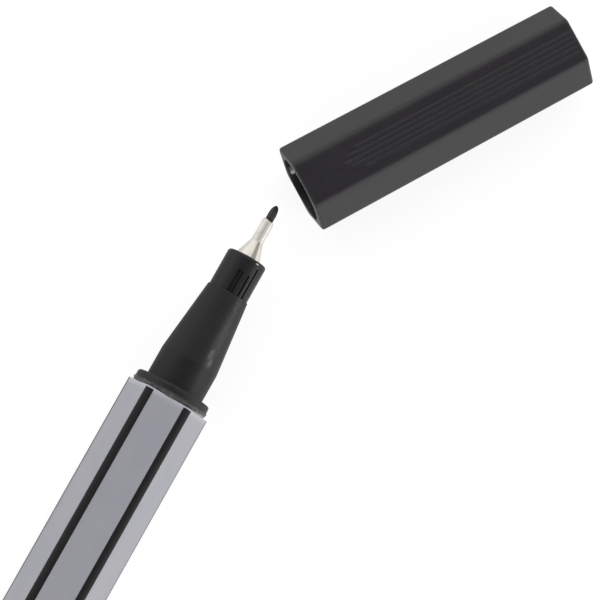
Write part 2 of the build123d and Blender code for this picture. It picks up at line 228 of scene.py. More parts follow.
class TipSettings(bpy.types.PropertyGroup):
    """Sizes and colours of the nib holder, the metal sleeve, the nib and the ink store."""

    holder_edge: length("Holder edge", "Rounding of the holder's front edge", 0.3 * MM)
    holder_lip: length("Holder lip", "Rounding of the holder's edge round the sleeve", 0.04 * MM)
    holder_setback: length("Holder setback", "How far the holder ends behind the solid's", 0.07 * MM)
    shank_radius: length("Shank radius", "Radius of the holder inside the grip", 1.55 * MM)
    shank_edge: length("Shank edge", "Rounding of the shank's rear edge", 0.2 * MM)
    rod_room: length("Rod room", "Room round the nib inside the holder", 0.05 * MM)
    vent_depth: length("Vent depth", "Depth of the air slots", 0.17 * MM)
    vent_slope: length("Vent slope", "Half width of the air slots' sloped walls", 0.02 * MM)
    sleeve_wall: length("Sleeve wall", "Sheet thickness of the sleeve", 0.18 * MM)
    sleeve_foot: length("Sleeve foot", "Rounding at the foot of the sleeve's cone", 0.1 * MM)
    sleeve_cone: length("Sleeve cone", "Length of the sleeve's cone", 1.74 * MM)
    sleeve_blend: length("Sleeve blend", "Rounding between cone and tube", 0.8 * MM)
    rim_length: length("Rim length", "Length of the turned-in rim", 0.45 * MM)
    rim_inset: length("Rim inset", "How far the rim is turned in", 0.04 * MM)
    rim_bend: length("Rim bend", "Rounding between the tube and its rim", 0.3 * MM)
    rim_edge: length("Rim edge", "Rounding of the rim's outer edge", 0.05 * MM)
    rim_lip: length("Rim lip", "Rounding of the rim's inner edge", 0.03 * MM)
    rim_skew: turn("Rim skew", "How far the sleeve's front cut is out of square", radians(10))
    nib_dome: length("Nib dome", "Length of the nib's rounded end", 0.95 * MM)
    nib_reach: length("Nib reach", "How far the nib stands out past the solid's", 0.06 * MM)
    nib_point: length("Nib point", "Length of the point that dips into the wadding", 1.2 * MM)
    wadding_edge: length("Wadding edge", "Rounding of the wadding's ends", 0.35 * MM)
    hole_edge: length("Hole edge", "Rounding round the nib's hole in the wadding", 0.1 * MM)
    holder_black: colour("Holder black", "Holder plastic", (0.0186, 0.0164, 0.0168))
    nickel: colour("Nickel", "Sleeve metal", (0.88, 0.84, 0.765))
    # Painted glint on the holder's front edge
    painted_glint: colour("Nick", "Bright nick on the holder's front edge", (0.8, 0.8, 0.78))
    # Colour of the painted reflection on the sleeve
    painted_reflection: colour("Stain", "Brown draw marks on the sleeve", (0.25, 0.198, 0.14))
    fibre: colour("Fibre", "Ink-soaked nib and wadding", (0.041, 0.035, 0.0375))
    film: colour("Film", "Clear film round the wadding", (0.86, 0.86, 0.88))
    film_fold: colour("Film folds", "Creases of the film", (0.72, 0.72, 0.76))


class CapSettings(bpy.types.PropertyGroup):
    """Sizes and colours of the cap and its liner."""

    flats: length("Across flats", "Cap width at the mouth", 7.9 * MM)
    draft: turn("Draft", "Slope of each side", radians(0.39))
    corner_radius: length("Corner radius", "Rounding of the six corners at the mouth", 0.9 * MM)
    rim_radius: length("Rim radius", "Rounding round the outside of the mouth", 0.3 * MM)
    rim_reach: length("Rim reach", "How far the rim stands out past the solid's", 0.065 * MM)
    mouth_bevel: length("Mouth bevel", "Bevel round the bore's mouth", 0.06 * MM)
    mouth_flare: length("Mouth flare", "How much wider the bore is at the rim", 0.06 * MM)
    flare_depth: length("Flare depth", "Depth over which the bore narrows", 0.45 * MM)
    end_radius: length("End radius", "Rounding of the closed end", 0.28 * MM)
    seat_radius: length("Liner seat radius", "Radius of the bore that holds the liner", 2.865 * MM)
    seat_end: length("Liner seat end", "Depth of the liner's bore", 21.92 * MM)
    core_radius: length("Core radius", "Radius of the hollow behind the liner", 2.0 * MM)
    end_wall: length("End wall", "Thickness of the closed end", 1.5 * MM)
    vent_radius: length("Vent radius", "Radius of the hole in the closed end", 0.75 * MM)
    rib_pitch: length("Rib pitch", "Distance between the grip ribs", 0.51 * MM)
    rib_foot: length("Rib foot", "Half width of a rib at its foot", 0.165 * MM)
    rib_height: length("Rib height", "Height of the grip ribs", 0.06 * MM)
    rib_start: length("Rib start", "Distance of the middle rib from the mouth", 4.2 * MM)
    rib_stagger: length("Rib stagger", "Step by which the outer ribs start later", 0.28 * MM)
    rib_shift: length("Rib shift", "How far the ribs lie off the middle of their flat", 0.128 * MM)
    rib_margin: length("Rib margin", "Distance of the ribs from the closed end", 0.5 * MM)
    rib_ramp: length("Rib ramp", "Length of a rib's sloped ends", 0.12 * MM)
    black: colour("Black", "Cap plastic", (0.0276, 0.0244, 0.0264))
    bore_worn: colour("Worn bore", "Cap bore rubbed by the seat", (0.032, 0.028, 0.029))
    # Painted glint just inside the mouth
    painted_bore_glint: colour("Bore scratch", "Bright scratch just inside the mouth", (0.97, 0.95, 0.9))
    liner_black: colour("Liner black", "Liner plastic", (0.014, 0.014, 0.014))


class StageSettings(bpy.types.PropertyGroup):
    """Camera, floor and light."""

    camera_over: position("Camera place", "Where the camera stands", (-0.02483, 0.00405, 0.4))
    camera_aim: position("Camera aim", "The point in the middle of the picture", (0.01316, -0.00628, 0.0))
    pen_heading: turn("Pen heading", "Angle of the pen in the picture, from the right up", radians(60.403))
    picture_width: length("Picture width", "Width that the picture shows at the aim", 56.953 * MM)
    floor_white: share("Floor white", "How much of the floor's look is plain white", 0.7)
    floor_glow: level("Floor glow", "Level of that white, which makes up for the shaded rest", 1.22)
    shine_left: share("Left shine", "How much of the floor's reflection is plain white on the left", 0.21)
    shine_right: share("Right shine", "How much of the floor's reflection is plain white on the right", 0.7)
    floor_grey: share("Floor grey", "Brightness of the floor itself", 0.88)
    sky_left: level("Left sky", "Level of the light tent on the pen's left", 1.4)
    sky_right: level("Right sky", "Level of the light tent on the pen's right", 2.33)
    zenith: level("Zenith", "Level of the tent's opening above the pen", 0.104)
    tent_tint: colour("Tent tint", "Colour of the light from the sides", (1.0, 0.985, 0.977))
    zenith_tint: colour("Zenith tint", "Colour of the light from the opening", (0.86, 0.92, 1.0))
    gap: share("Gap", "How much a gap in the tent in front of the pen dims it", 0.75)
    softbox_power: setting("Softbox", "Watts of the softbox on the right", 0.34, unit="POWER")


# Shader expressions


class Field:
    """A shader value that adds its own Math nodes when a Python expression uses it."""

    def __init__(self, graph, socket):
        self.graph = graph
        self.socket = socket

    def math(self, operation, *values):
        return self.graph.node("ShaderNodeMath", {"operation": operation}, dict(enumerate(values)))

    def __add__(self, other):
        return self.math("ADD", self, other)

    def __sub__(self, other):
        return self.math("SUBTRACT", self, other)

    def __rsub__(self, other):
        return self.math("SUBTRACT", other, self)

    def __mul__(self, other):
        return self.math("MULTIPLY", self, other)

    def __neg__(self):
        return 0 - self

    def __abs__(self):
        return self.math("ABSOLUTE", self)

    __radd__ = __add__
    __rmul__ = __mul__

    def larger(self, other):
        return self.math("MAXIMUM", self, other)

    def cosine(self):
        return self.math("COSINE", self)

    def step(self, low, high):
        """Rises smoothly from 0 at low to 1 at high."""
        ends = {"Value": self, "From Min": low, "From Max": high}
        return self.graph.node("ShaderNodeMapRange", {"interpolation_type": "SMOOTHSTEP"}, ends)

    def edge(self, middle, half):
        """Rises smoothly from 0 to 1 within half a width on each side of the middle."""
        return self.step(middle - half, middle + half)

    def band(self, low, full, fading, high):
        """Rises from 0 at low to 1 at full, and falls from 1 at fading to 0 at high."""
        return self.step(low, full) * (1 - self.step(fading, high))


class Graph:
    """The node tree of one material or world, and the coordinates that it is laid out in."""

    def __init__(self, owner, coordinates="Object"):
        owner.use_nodes = True
        self.owner = owner
        self.tree = owner.node_tree
        self.tree.nodes.clear()
        self.place = self.node("ShaderNodeTexCoord", output=coordinates)

    def node(self, kind, settings=None, sockets=None, output=0):
        """Adds a node, sets it up, fills its sockets and gives one of its outputs."""
        made = self.tree.nodes.new(kind)
        for name, value in (settings or {}).items():
            setattr(made, name, value)
        for name, value in (sockets or {}).items():
            if isinstance(value, Field):
                self.tree.links.new(value.socket, made.inputs[name])
            else:
                made.inputs[name].default_value = value
        return Field(self, made.outputs[output]) if made.outputs else None

    def vectors(self, operation, *values, output="Vector"):
        """A sum worked out on whole vectors."""
        return self.node("ShaderNodeVectorMath", {"operation": operation}, dict(enumerate(values)), output)

    def axes(self):
        """The three numbers of the place."""
        split = self.node("ShaderNodeSeparateXYZ", sockets={0: self.place})
        return [Field(self, socket) for socket in split.socket.node.outputs]

    def along(self, direction):
        """How far the place reaches along a direction."""
        return self.vectors("DOT_PRODUCT", self.place, direction, output="Value")

    def reach(self):
        """Distance of the place from the piece's long axis."""
        beside = self.vectors("MULTIPLY", self.place, (0.0, 1.0, 1.0))
        return self.vectors("LENGTH", beside, output="Value")

    def bearing(self):
        """Angle of the place round the piece's long axis, 0 up and positive to -Y."""
        _, y, z = self.axes()
        return y.math("ARCTAN2", -y, z)

    def grain(self, along, across=None, detail=2.0, roughness=0.5):
        """Noise of 0.5 on average whose features are about this far apart along the piece and across it."""
        scale = (1 / along, 1 / (across or along), 1 / (across or along))
        stretched = self.vectors("MULTIPLY", self.place, scale)
        sockets = {"Vector": stretched, "Scale": 1.0, "Detail": detail, "Roughness": roughness}
        return self.node("ShaderNodeTexNoise", sockets=sockets)

    def spot(self, centre, size):
        """A soft round patch: 1 at its centre, 0 from its edge on."""
        moved = self.vectors("SUBTRACT", self.place, centre)
        scaled = self.vectors("MULTIPLY", moved, tuple(1 / s for s in size))
        return 1 - self.vectors("LENGTH", scaled, output="Value").step(0.0, 1.0)

    def blend(self, mask, first, second):
        """Colour that goes from first to second with the mask."""
        return self.node("ShaderNodeMix", {"data_type": "RGBA"}, {0: mask, 6: first, 7: second}, output=2)

    def shades(self, mask, shade, low, high):
        """A colour whose brightness goes from low to high with the mask."""
        return self.blend(mask, tint(shade, low), tint(shade, high))

    def over(self, tone, mask, shade, factor=1.0):
        """A tone with another colour laid over it by the mask."""
        return self.blend(mask, tone, tint(shade, factor))

    def surface(self, tone, roughness, height, depth, shine=0.5, metallic=0.0, clear=0.0):
        """Closes the graph with a surface whose height varies by a depth, and gives the material."""
        bump = {"Height": height, "Distance": depth, "Strength": 1.0}
        shader = self.node("ShaderNodeBsdfPrincipled", sockets={
            "Base Color": tone,
            "Roughness": roughness,
            "Metallic": metallic,
            "Specular IOR Level": shine,
            "Transmission Weight": clear,
            "Normal": self.node("ShaderNodeBump", sockets=bump),
        })
        self.node("ShaderNodeOutputMaterial", sockets={"Surface": shader})
        return self.owner


def new_finish(name):
    """The graph of a new material."""
    return Graph(bpy.data.materials.new(name))


def tint(shade, factor=1.0):
    """A settings colour as a shader colour, brighter or darker by a factor."""
    return tuple(min(1.0, c * factor) for c in shade) + (1.0,)


# Finishes


def barrel_grey(barrel):
    """Satin extruded plastic with fine lengthwise draw lines, a painted highlight on the front end and
    painted shade along the side corners.
    """
    graph = new_finish("barrel_grey")
    along, aside, _ = graph.axes()
    lines = graph.grain(40 * MM, 0.06 * MM, detail=3.0)
    cloud = graph.grain(14 * MM, 3 * MM)
    patch = graph.grain(7 * MM, 2.5 * MM, detail=1.0).step(0.4, 0.65)
    fleck = graph.grain(0.09 * MM, detail=1.0).step(0.70, 0.78)
    # Painted highlight along the front end
    near_end = along.step(BARREL_HIGH.x - barrel.painted_end_highlight, BARREL_HIGH.x)
    # Painted shade: a dark line along the side corners, stronger on the left
    painted_edge_shade = abs(aside).edge(BARREL_HIGH.y - barrel.painted_shade_width, barrel.painted_shade_edge)
    more_on_left = 0.6 + aside.step(0.0, MM) * 0.4
    tone = graph.shades(lines * 0.5 + cloud * 0.5, barrel.grey, 0.93, 1.07)
    tone = graph.over(tone, patch * 0.6, barrel.cool)
    tone = graph.over(tone, fleck * 0.12, barrel.grey, 0.7)
    tone = graph.over(tone, near_end * near_end * 0.8, barrel.grey, 1.4)
    tone = graph.over(tone, painted_edge_shade * more_on_left, barrel.painted_edge_shade)
    roughness = 0.36 + lines * 0.08 + cloud * 0.06
    return graph.surface(tone, roughness, lines * 0.7 + fleck * 0.3, 0.002 * MM, shine=0.65)


def stripe_black(barrel):
    """Satin black plastic drawn in one pass with the barrel."""
    graph = new_finish("stripe_black")
    lines = graph.grain(30 * MM, 0.05 * MM, detail=3.0)
    tone = graph.shades(lines, barrel.black, 0.8, 1.3)
    return graph.surface(tone, 0.42 + lines * 0.1, lines, 0.002 * MM, shine=0.2 * SOFT_SHINE)


def plug_black(barrel):
    """Moulded satin plastic with a fine spark texture."""
    graph = new_finish("plug_black")
    spark = graph.grain(0.12 * MM)
    cloud = graph.grain(2.5 * MM)
    tone = graph.shades(cloud, barrel.plug_black, 0.85, 1.25)
    return graph.surface(tone, 0.38 + cloud * 0.12, spark, 0.006 * MM, shine=SOFT_SHINE)


def grip_black(grip):
    """Matte moulded plastic, rubbed pale along the collar's bead, with scuffs and a painted highlight on
    its right flank, painted shade on its left flank and cap seat, and a painted highlight on the bead's
    right end.
    """
    graph = new_finish("grip_black")
    x, y, _ = graph.axes()
    reach = graph.reach()
    spark = graph.grain(0.11 * MM, detail=3.0, roughness=0.6)
    specks = spark.step(0.35, 0.65)
    cloud = graph.grain(1.7 * MM, detail=3.0)
    scratch = graph.grain(1.2 * MM, 0.12 * MM, detail=3.0).step(0.62, 0.74)
    rub = graph.grain(0.35 * MM, detail=4.0, roughness=0.65).step(0.38, 0.66)
    chips = graph.grain(0.12 * MM, 0.5 * MM, detail=3.0, roughness=0.6).step(0.55, 0.72)

    bead = reach.step(grip.collar_back - 0.1 * MM, grip.collar_back - 0.02 * MM)
    bead_back = bead * (1 - x.edge(BARREL_HIGH.x + grip.bead_place, 0.5 * grip.bead_slope))
    collar = reach.step(grip.collar_back - 0.4 * MM, grip.collar_back - 0.2 * MM)
    at_barrel = 1 - x.step(BARREL_HIGH.x + 0.08 * MM, BARREL_HIGH.x + 0.2 * MM)
    # Painted highlight on the bead's right end, next to the barrel
    painted_right_highlight = (-y).step(2.4 * MM, 3.2 * MM) * at_barrel
    # Painted shade: the cap seat, from the collar to the cone, is painted darker
    painted_seat_shade = x.band(0.0, 0.2 * MM, SEAT_END - 0.3 * MM, SEAT_END + 0.3 * MM) * (1 - collar)
    # Painted shade: the left flank of the seat and cone is painted darker
    painted_left_shade = y.step(0.0, 1.2 * MM) * (1 - collar)

    # Scuffs placed along the highlight on the right flank: partly real scuffs, partly a painted highlight
    flank = graph.spot(*UPPER_SCUFF_HIGHLIGHT).larger(graph.spot(*LOWER_SCUFF_HIGHLIGHT))
    scuff_and_highlight = flank * (0.7 + rub * 0.6) + graph.spot(*FRONT_SCUFF_HIGHLIGHT) * (0.1 + rub * 0.35)
    scuff_and_highlight = scuff_and_highlight + graph.spot(*SIDE_SCUFF_HIGHLIGHT) * (0.12 + specks * 0.55)
    worn = (bead_back * (0.6 + rub * 0.6)).larger(scratch * cloud * 0.22).larger(scuff_and_highlight)
    worn = worn.larger(collar * specks * 0.05)

    tone = graph.shades(cloud, grip.black, 0.85, 1.2)
    tone = graph.over(tone, painted_seat_shade * 0.6, grip.black, 0.4)
    tone = graph.over(tone, painted_left_shade * 0.45, grip.black, 0.3)
    tone = graph.over(tone, worn, grip.worn)
    tone = graph.over(tone, bead_back * chips.larger(painted_right_highlight), grip.chips_and_painted_highlight)
    roughness = 0.5 + cloud * 0.1 - worn * 0.08
    return graph.surface(tone, roughness, spark * 0.8 + rub * bead * 0.8, 0.012 * MM, shine=SOFT_SHINE)


def holder_black(tip):
    """Glossy moulded plastic with faint flow waves, dust and a painted glint on its front edge."""
    graph = new_finish("holder_black")
    wave = graph.grain(1.6 * MM, 0.5 * MM)
    dust = graph.grain(0.1 * MM).step(0.66, 0.76)
    tone = graph.shades(dust * 0.25, tip.holder_black, 1.0, 4.0)
    # Painted glint on the front edge
    tone = graph.over(tone, graph.spot(*HOLDER_GLINT).step(0.1, 0.5), tip.painted_glint)
    return graph.surface(tone, 0.36 + wave * 0.1 + dust * 0.1, wave, 0.006 * MM, shine=0.72 * SOFT_SHINE)


def drawn_nickel(tip):
    """Bright drawn metal with fine lengthwise marks, a breath of tarnish and a painted reflection in brown
    bands and lines.
    """
    graph = new_finish("nickel")
    along, _, _ = graph.axes()
    bearing = graph.bearing()
    neck = HOLDER_HIGH.x + tip.sleeve_cone
    on_cone = 1 - along.step(neck - 0.15 * MM, neck + 0.05 * MM)
    marks = graph.grain(1.5 * MM, 0.03 * MM, detail=3.0)
    tarnish = graph.grain(0.7 * MM, detail=3.0).step(0.45, 0.8)
    # Painted reflection: brown lines on the tube and a band on the cone at fixed bearings
    ripple = (bearing - REFLECTION_LINE_START) * (2 * pi / REFLECTION_LINE_PITCH)
    reflected_lines = ripple.cosine().step(0.0, 0.9) * (0.5 + marks)
    cone_reflection = bearing.band(*CONE_REFLECTION) * on_cone * 0.6
    tube_reflection = bearing.band(*TUBE_REFLECTION) * (1 - on_cone) * reflected_lines * 0.35
    tone = graph.shades(tarnish * 0.5, tip.nickel, 1.0, 0.72)
    tone = graph.over(tone, on_cone * 0.1, tip.nickel, 0.4)
    tone = graph.over(tone, cone_reflection.larger(tube_reflection), tip.painted_reflection)
    roughness = 0.36 + marks * 0.12 + tarnish * 0.08
    return graph.surface(tone, roughness, marks, 0.0012 * MM, metallic=0.28 + on_cone * 0.37)


def nib_fibre(tip):
    """Bonded fibres soaked with ink, ground to a blunt point and darker at both ends."""
    graph = new_finish("nib_fibre")
    along, _, _ = graph.axes()
    fibres = graph.grain(0.9 * MM, 0.035 * MM, detail=3.0)
    fuzz = graph.grain(0.05 * MM)
    point = along.step(NIB_HIGH.x - 0.6 * MM, NIB_HIGH.x - 0.1 * MM)
    root = 1 - along.step(SLEEVE_HIGH.x, SLEEVE_HIGH.x + 0.3 * MM)
    tone = graph.shades(fibres, tip.fibre, 0.55, 1.7)
    tone = graph.over(tone, point.larger(root * 0.8), tip.fibre, 0.2)
    return graph.surface(tone, 0.62 + fuzz * 0.25, fibres * 0.7 + fuzz * 0.3, 0.012 * MM)


def cap_black(cap):
    """Satin charcoal plastic with a fine even texture, hairline scratches, a worn bore and a painted glint
    inside the mouth.
    """
    graph = new_finish("cap_black")
    rim = BORE_RADIUS + cap.mouth_flare
    inside = 1 - graph.reach().step(rim - 0.05 * MM, rim + 0.01 * MM)
    spark = graph.grain(0.1 * MM)
    cloud = graph.grain(6 * MM, 2 * MM)
    hair = graph.grain(2.4 * MM, 0.07 * MM).step(0.68, 0.78)
    # Painted glint inside the mouth, with a fainter halo
    scratch = graph.spot(*BORE_GLINT).step(0.1, 0.5).larger(graph.spot(*BORE_GLINT_HALO) * 0.3)
    tone = graph.shades(cloud, cap.black, 0.88, 1.15)
    tone = graph.over(tone, hair * 0.2, cap.black, 3.0)
    tone = graph.over(tone, inside * (0.4 + cloud * 0.6), cap.bore_worn)
    tone = graph.over(tone, inside * scratch, cap.painted_bore_glint)
    roughness = 0.35 + cloud * 0.06 + hair * 0.08
    return graph.surface(tone, roughness, spark, 0.004 * MM, shine=0.88 * SOFT_SHINE)


def liner_black(cap):
    """Soft moulded plastic inside the cap."""
    graph = new_finish("liner_black")
    cloud = graph.grain(1.2 * MM, detail=3.0)
    tone = graph.shades(cloud, cap.liner_black, 0.7, 1.3)
    return graph.surface(tone, 0.5 + cloud * 0.15, cloud, 0.01 * MM, shine=SOFT_SHINE)


def wadding(tip):
    """Ink-soaked fibre wadding."""
    graph = new_finish("wadding")
    fibres = graph.grain(3 * MM, 0.08 * MM, detail=4.0, roughness=0.65)
    tone = graph.shades(fibres, tip.fibre, 0.5, 2.2)
    return graph.surface(tone, 0.85, fibres, 0.05 * MM)


def film(tip):
    """Thin clear film with soft creases."""
    graph = new_finish("film")
    crease = graph.grain(9 * MM, 0.7 * MM, detail=3.0)
    tone = graph.blend(crease, tint(tip.film_fold), tint(tip.film))
    return graph.surface(tone, 0.12 + crease * 0.12, crease, 0.03 * MM, clear=0.6)


# Outlines and meshes


def sweep(start, stop, steps):
    """Evenly spaced values from start to stop."""
    return [start + (stop - start) * step / steps for step in range(steps + 1)]


def ray(angle):
    """Unit vector at an angle."""
    return Vector((cos(angle), sin(angle)))


def soft_outline(*corners):
    """Closed outline through corners of (x, y) or (x, y, radius), rounded where a radius is given."""
    points = []
    for index, corner in enumerate(corners):
        here = Vector(corner[:2])
        if len(corner) == 2:
            points.append(here)
            continue
        before = (Vector(corners[index - 1][:2]) - here).normalized()
        after = (Vector(corners[(index + 1) % len(corners)][:2]) - here).normalized()
        half = before.angle(after) / 2
        centre = here + (before + after).normalized() * corner[2] / sin(half)
        first = here + before * corner[2] / tan(half) - centre
        start = atan2(first.y, first.x)
        bend = (pi - 2 * half) * (1 if before.cross(after) < 0 else -1)
        points += [centre + ray(angle) * corner[2] for angle in sweep(start, start + bend, EDGE_STEPS)]
    return points


def rounding(radius):
    """Stations and insets of a quarter-round edge, from its face to its side."""
    return [(radius * (1 - cos(a)), radius * (1 - sin(a))) for a in sweep(0, pi / 2, CORNER_STEPS)]


def hex_angle(index, further=0):
    """Direction of one corner of a six-sided outline, corner 0 along +Y, and some degrees further."""
    return radians(60 * index + further)


def hex_corner(flats, radius, index):
    """Arc of points round one corner of a six-sided outline."""
    middle = ray(hex_angle(index)) * (flats / sqrt(3) - radius / cos(radians(30)))
    angles = sweep(hex_angle(index, -30), hex_angle(index, 30), CORNER_STEPS)
    return [middle + ray(angle) * radius for angle in angles]


def along_flats(corners):
    """One outline through the corners' points, with points along the flats to keep bores round."""
    points = []
    for corner, following in zip(corners, corners[1:] + corners[:1]):
        points += corner
        points += [corner[-1].lerp(following[0], step / FLAT_STEPS) for step in range(1, FLAT_STEPS)]
    return points


def stripe_edges(barrel, index, reach, depth):
    """The four ends of a stripe's section: on the flat before the corner, then on the flat after it."""
    sharp = ray(hex_angle(index)) * barrel.flats / sqrt(3)
    before = sharp + ray(hex_angle(index, -120)) * reach
    after = sharp + ray(hex_angle(index, 120)) * reach
    floor = before - ray(hex_angle(index, -30)) * depth
    next_floor = after - ray(hex_angle(index, 30)) * depth
    return before, floor, next_floor, after


def barrel_outline(barrel, grooved):
    """The barrel's outline, with a groove at each striped corner or plain with as many points."""
    depth = barrel.stripe_depth
    corners = []
    for index in range(6):
        arc = hex_corner(barrel.flats, barrel.corner_radius, index)
        if index not in STRIPED_CORNERS:
            corners.append(arc)
            continue
        top, floor, next_floor, next_top = stripe_edges(barrel, index, barrel.stripe_reach, depth)
        if grooved:
            arc = hex_corner(barrel.flats - 2 * depth, barrel.corner_radius - depth, index)
        else:
            floor, next_floor = (top + arc[0]) / 2, (arc[-1] + next_top) / 2
        corners.append([top, floor] + arc + [next_floor, next_top])
    return along_flats(corners)


def stripe_outline(barrel, index):
    """One stripe's thin section, just clear of its groove."""
    depth = barrel.stripe_depth - barrel.stripe_gap
    reach = barrel.stripe_reach - barrel.stripe_gap
    top, floor, next_floor, next_top = stripe_edges(barrel, index, reach, depth)
    outside = hex_corner(barrel.flats, barrel.corner_radius, index)
    inside = hex_corner(barrel.flats - 2 * depth, barrel.corner_radius - depth, index)
    return [top] + outside + [next_top, next_floor] + inside[::-1] + [floor]


def bore_radius(barrel):
    """Radius of the barrel's bore."""
    return barrel.flats / 2 - barrel.wall


def across(outline, x, scale=1.0):
    """An outline set across the axis at station x."""
    return [Vector((x, p.x * scale, p.y * scale)) for p in outline]


def circle_like(outline, x, radius):
    """A circle across the axis with one point at the angle of each of the outline's points."""
    return [Vector((x, radius * p.x / p.length, radius * p.y / p.length)) for p in outline]


def skewed(ring, barrel):
    """A ring near the barrel's front end, moved along by the skew of the cut, not at all on the right."""
    slope = tan(barrel.cut_skew)
    return [point + Vector((slope * (point.y - BARREL_LOW.y), 0, 0)) for point in ring]


def round_angles():
    """Even angles for a turned piece."""
    return sweep(0, 2 * pi, ROUND_STEPS)[:-1]


def turned_rings(outline, shape=None, angles=None):
    """Rings of an outline of (station, radius) turned about the axis, angle 0 up and positive to -Y."""
    rings = []
    for station, radius in outline:
        ring = []
        for angle in angles or round_angles():
            reach = shape(station, radius, angle) if shape else radius
            ring.append(Vector((station, -reach * sin(angle), reach * cos(angle))))
        rings.append(ring)
    return rings


def apart(first, second):
    """The angle between two bearings, the shorter way round."""
    return abs((first - second + pi) % (2 * pi) - pi)


def add_skin(mesh, rings, endless):
    """Faces over rings of equally many points, joined end to end or closed by a face at each end."""
    loops = [[mesh.verts.new(point) for point in ring] for ring in rings]
    count = len(loops[0])
    following = loops[1:] + loops[:1] if endless else loops[1:]
    for lower, upper in zip(loops, following):
        for i in range(count):
            j = (i + 1) % count
            mesh.faces.new((lower[i], lower[j], upper[j], upper[i]))
    if not endless:
        mesh.faces.new(loops[0][::-1])
        mesh.faces.new(loops[-1])


def add_piece(name, skins, material, body, node, endless=True, place=None):
    """Makes a piece of one or more skins and puts it in the scene in place of a frame node."""
    mesh = bmesh.new()
    for rings in skins:
        add_skin(mesh, rings, endless)
    bmesh.ops.recalc_face_normals(mesh, faces=mesh.faces)
    data = bpy.data.meshes.new(name)
    mesh.to_mesh(data)
    mesh.free()
    data.shade_smooth()
    data.set_sharp_from_angle(angle=SHARP_ANGLE)
    data.materials.append(material)
    piece = bpy.data.objects.new(name, data)
    bpy.context.scene.collection.objects.link(piece)
    if place:
        piece.matrix_world = place
    weighted = piece.modifiers.new("even shading", "WEIGHTED_NORMAL")
    weighted.keep_sharp = True
    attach(piece, body)
    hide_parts(node)


def dress_node(node, material):
    """Gives a frame node that stays its finish."""
    data = frame["nodes"][node].data
    data.materials.clear()
    data.materials.append(material)


# Operators, one for each piece or group of like pieces


class FINELINER_OT_barrel(bpy.types.Operator):
    """Builds the six-sided barrel tube with grooves for its stripes"""

    bl_idname = "fineliner.barrel"
    bl_label = "Barrel"

    def execute(self, context):
        barrel = context.scene.fineliner_barrel
        plain = barrel_outline(barrel, grooved=False)
        grooved = barrel_outline(barrel, grooved=True)
        bevel, margin, gap = barrel.end_bevel, barrel.stripe_margin, barrel.stripe_gap
        shrink = 1 - 2 * bevel / barrel.flats
        rear, front = BARREL_LOW.x, BARREL_HIGH.x
        rear_rings = [
            across(plain, rear, shrink),
            across(plain, rear + bevel),
            across(plain, rear + margin - gap),
            across(grooved, rear + margin),
        ]
        front_rings = [
            across(grooved, front - margin),
            across(plain, front - margin + gap),
            across(plain, front - bevel),
            across(plain, front, shrink),
            circle_like(plain, front, bore_radius(barrel)),
        ]
        rings = rear_rings + [skewed(ring, barrel) for ring in front_rings]
        rings.append(circle_like(plain, rear, bore_radius(barrel)))
        add_piece("barrel_tube", [rings], barrel_grey(barrel), "pen", "barrel")
        return {"FINISHED"}


class FINELINER_OT_stripes(bpy.types.Operator):
    """Builds the black stripes that fill the barrel's grooves"""

    bl_idname = "fineliner.stripes"
    bl_label = "Stripes"

    def execute(self, context):
        barrel = context.scene.fineliner_barrel
        margin = barrel.stripe_margin + barrel.stripe_gap
        skins = []
        for index in STRIPED_CORNERS:
            outline = stripe_outline(barrel, index)
            front = skewed(across(outline, BARREL_HIGH.x - margin), barrel)
            skins.append([across(outline, BARREL_LOW.x + margin), front])
        finish = stripe_black(barrel)
        add_piece("corner_stripes", skins, finish, "pen", "barrel_stripes", endless=False)
        return {"FINISHED"}


class FINELINER_OT_plug(bpy.types.Operator):
    """Builds the rear plug with its six-sided head, spigot and crossed fins"""

    bl_idname = "fineliner.plug"
    bl_label = "Rear plug"

    def execute(self, context):
        barrel = context.scene.fineliner_barrel
        flats = PLUG_HIGH.z - PLUG_LOW.z
        seat = BARREL_LOW.x
        spigot = bore_radius(barrel) - CLEARANCE
        spigot_end = seat + barrel.plug_spigot
        cup = spigot - barrel.plug_wall
        outline = along_flats([hex_corner(flats, barrel.corner_radius, index) for index in range(6)])
        # One more ring inside the end face keeps its shading flat
        rings = [across(outline, PLUG_LOW.x, 1 - 4 * barrel.plug_edge / flats)]
        for station, inset in rounding(barrel.plug_edge):
            rings.append(across(outline, PLUG_LOW.x + station, 1 - 2 * inset / flats))
        rings.append(across(outline, seat))
        spigot_corners = (
            (seat, spigot),
            (spigot_end - LEAD_IN, spigot),
            (spigot_end, spigot - LEAD_IN),
            (spigot_end, cup),
            (seat, cup),
        )
        rings += [circle_like(outline, station, radius) for station, radius in spigot_corners]
        half = barrel.plug_fin / 2
        cross = []
        for quarter in range(4):
            out, side = ray(quarter * pi / 2), ray(quarter * pi / 2 + pi / 2)
            cross += [out * cup - side * half, out * cup + side * half, out * half + side * half]
        skins = [rings, [across(cross, seat), across(cross, PLUG_HIGH.x)]]
        add_piece("end_plug", skins, plug_black(barrel), "pen", "rear_plug", endless=False)
        return {"FINISHED"}


